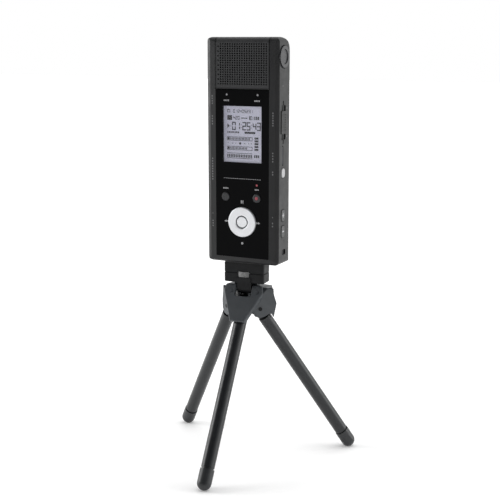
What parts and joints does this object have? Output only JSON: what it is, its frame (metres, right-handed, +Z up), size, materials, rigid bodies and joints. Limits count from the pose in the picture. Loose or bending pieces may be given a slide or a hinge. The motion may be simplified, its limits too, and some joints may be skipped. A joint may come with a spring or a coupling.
{
  "type": "portable field recorder",
  "caption": "Handheld sound recorder with a tilting perforated microphone head, display and control ring, screwed to a folding table tripod.",
  "frame": {"origin": "on the table, at the middle of the whole object's footprint", "axes": "+Z up along the recorder, -Y towards the side that carries the display, +X to the viewer's right"},
  "size_m": [0.124, 0.1122, 0.2628],
  "materials": {
    "case_black": "fine satin texture",
    "panel_gloss": "polished",
    "lens_clear": "polished",
    "display": "smooth",
    "led_red": "clear lens",
    "led_clear": "smoked lens",
    "key_dark": "metallic paint",
    "key_light": "satin",
    "board_green": "solder mask",
    "component_dark": "moulded",
    "cell_jacket": "printed sleeve",
    "contact_nickel": "plated",
    "grille_black": "satin, perforated",
    "dial_black": "knurled rim",
    "steel_bare": "ground",
    "mount_rubber": "soft",
    "capsule_metal": "satin",
    "key_silver": "metallic paint",
    "side_key_black": "satin",
    "socket_black": "moulded",
    "socket_steel": "plated",
    "card_blue": "moulded",
    "bush_brass": "turned",
    "tripod_black": "fine powder coat",
    "hub_grey": "satin bluish grey",
    "wheel_grey": "knurled",
    "leg_grey": "semi-gloss bluish grey",
    "foot_rubber": "smooth"
  },
  "bodies": {
    "tripod_hub": {"hub_core": "hub_grey", "front_cover": "hub_grey", "cover_screws": "hub_grey", "tilt_pin": "tripod_black", "leg_pins": "tripod_black"},
    "platform": {"platform_base": "tripod_black", "platform_top": "tripod_black", "platform_pad": "mount_rubber", "platform_screws": "steel_bare"},
    "thumbwheel": {"screw_thumbwheel": "wheel_grey", "mount_screw": "steel_bare"},
    "recorder": {"front_bezel": "case_black", "front_panel": "panel_gloss", "display_lens": "lens_clear", "display_module": "display", "peak_lights": "led_clear", "record_light": "led_red", "main_board": "board_green", "board_components": "component_dark", "main_housing": "case_black", "battery_left": "cell_jacket", "battery_right": "cell_jacket", "battery_contacts": "contact_nickel", "battery_springs": "contact_nickel", "headphone_jack": "socket_black", "line_in_jack": "socket_black", "usb_port": "socket_steel", "power_inlet": "socket_black", "card_socket": "socket_steel", "strap_bar": "side_key_black", "tripod_bush": "bush_brass", "rear_screws": "steel_bare"},
    "battery_door": {"battery_door": "case_black"},
    "mic_head": {"mic_grille": "grille_black", "mic_head_shell": "case_black", "tilt_dial": "dial_black", "head_axles": "steel_bare", "capsule_mount": "mount_rubber", "mic_capsule_left": "capsule_metal", "mic_capsule_right": "capsule_metal"},
    "menu_button": {"menu_button": "key_dark"},
    "record_button": {"record_button": "key_dark"},
    "ring_pad": {"ring_pad": "key_silver"},
    "centre_button": {"centre_button": "key_silver"},
    "power_slider": {"power_slider": "side_key_black"},
    "mark_button": {"mark_button": "key_light"},
    "volume_up_button": {"volume_up_button": "side_key_black"},
    "volume_down_button": {"volume_down_button": "side_key_black"},
    "memory_card": {"memory_card": "card_blue"},
    "front_leg": {"front_leg_tube": "leg_grey", "front_leg_tang": "tripod_black", "front_leg_foot": "foot_rubber"},
    "right_leg": {"right_leg_tube": "leg_grey", "right_leg_tang": "tripod_black", "right_leg_foot": "foot_rubber"},
    "left_leg": {"left_leg_tube": "leg_grey", "left_leg_tang": "tripod_black", "left_leg_foot": "foot_rubber"}
  },
  "joints": [
    {"name": "platform_tilt", "type": "hinge", "parent": "tripod_hub", "child": "platform", "pos_m": [0.0022, 0.0144, 0.10881], "axis": [0.9978, 0.0663, 0], "range_deg": [-15, 10]},
    {"name": "thumbwheel_turn", "type": "hinge", "parent": "platform", "child": "thumbwheel", "pos_m": [0.0022, 0.0144, 0.11782], "axis": [0, 0, 1], "continuous": true},
    {"name": "recorder_pan", "type": "hinge", "parent": "platform", "child": "recorder", "pos_m": [0.0022, 0.0144, 0.12582], "axis": [0, 0, 1], "continuous": true},
    {"name": "battery_door_hinge", "type": "hinge", "parent": "recorder", "child": "battery_door", "pos_m": [0.00855, 0.0257, 0.13872], "axis": [-1, 0, 0], "range_deg": [0, 90]},
    {"name": "mic_head_tilt", "type": "hinge", "parent": "recorder", "child": "mic_head", "pos_m": [0.0037, 0.0129, 0.25132], "axis": [-1, 0, 0], "range_deg": [0, 210]},
    {"name": "menu_button_press", "type": "slide", "parent": "recorder", "child": "menu_button", "axis": [0, 1, 0], "range_m": [0, 0.00035], "stiffness_N_per_m": 300, "springref_m": -0.0005},
    {"name": "record_button_press", "type": "slide", "parent": "recorder", "child": "record_button", "axis": [0, 1, 0], "range_m": [0, 0.00035], "stiffness_N_per_m": 300, "springref_m": -0.0005},
    {"name": "ring_pad_press", "type": "slide", "parent": "recorder", "child": "ring_pad", "axis": [0, 1, 0], "range_m": [0, 0.0004], "stiffness_N_per_m": 300, "springref_m": -0.0005},
    {"name": "centre_button_press", "type": "slide", "parent": "recorder", "child": "centre_button", "axis": [0, 1, 0], "range_m": [0, 0.0004], "stiffness_N_per_m": 300, "springref_m": -0.0005},
    {"name": "power_slide", "type": "slide", "parent": "recorder", "child": "power_slider", "axis": [0, 0, 1], "range_m": [-0.003, 0.003]},
    {"name": "mark_button_press", "type": "slide", "parent": "recorder", "child": "mark_button", "axis": [-1, 0, 0], "range_m": [0, 0.00035], "stiffness_N_per_m": 300, "springref_m": -0.0005},
    {"name": "volume_up_button_press", "type": "slide", "parent": "recorder", "child": "volume_up_button", "axis": [-1, 0, 0], "range_m": [0, 0.00035], "stiffness_N_per_m": 300, "springref_m": -0.0005},
    {"name": "volume_down_button_press", "type": "slide", "parent": "recorder", "child": "volume_down_button", "axis": [-1, 0, 0], "range_m": [0, 0.00035], "stiffness_N_per_m": 300, "springref_m": -0.0005},
    {"name": "card_slide", "type": "slide", "parent": "recorder", "child": "memory_card", "axis": [1, 0, 0], "range_m": [0, 0.0125]},
    {"name": "front_leg_fold", "type": "hinge", "parent": "tripod_hub", "child": "front_leg", "pos_m": [0.00257, 0.00881, 0.09681], "axis": [0.9978, 0.0663, 0], "range_deg": [0, 33.2]},
    {"name": "right_leg_fold", "type": "hinge", "parent": "tripod_hub", "child": "right_leg", "pos_m": [0.01135, 0.0124, 0.09681], "axis": [-0.6481, 0.7615, 0], "range_deg": [0, 33.2]},
    {"name": "left_leg_fold", "type": "hinge", "parent": "tripod_hub", "child": "left_leg", "pos_m": [-0.00661, 0.01121, 0.09681], "axis": [-0.5417, -0.8406, 0], "range_deg": [0, 33.2]}
  ]
}
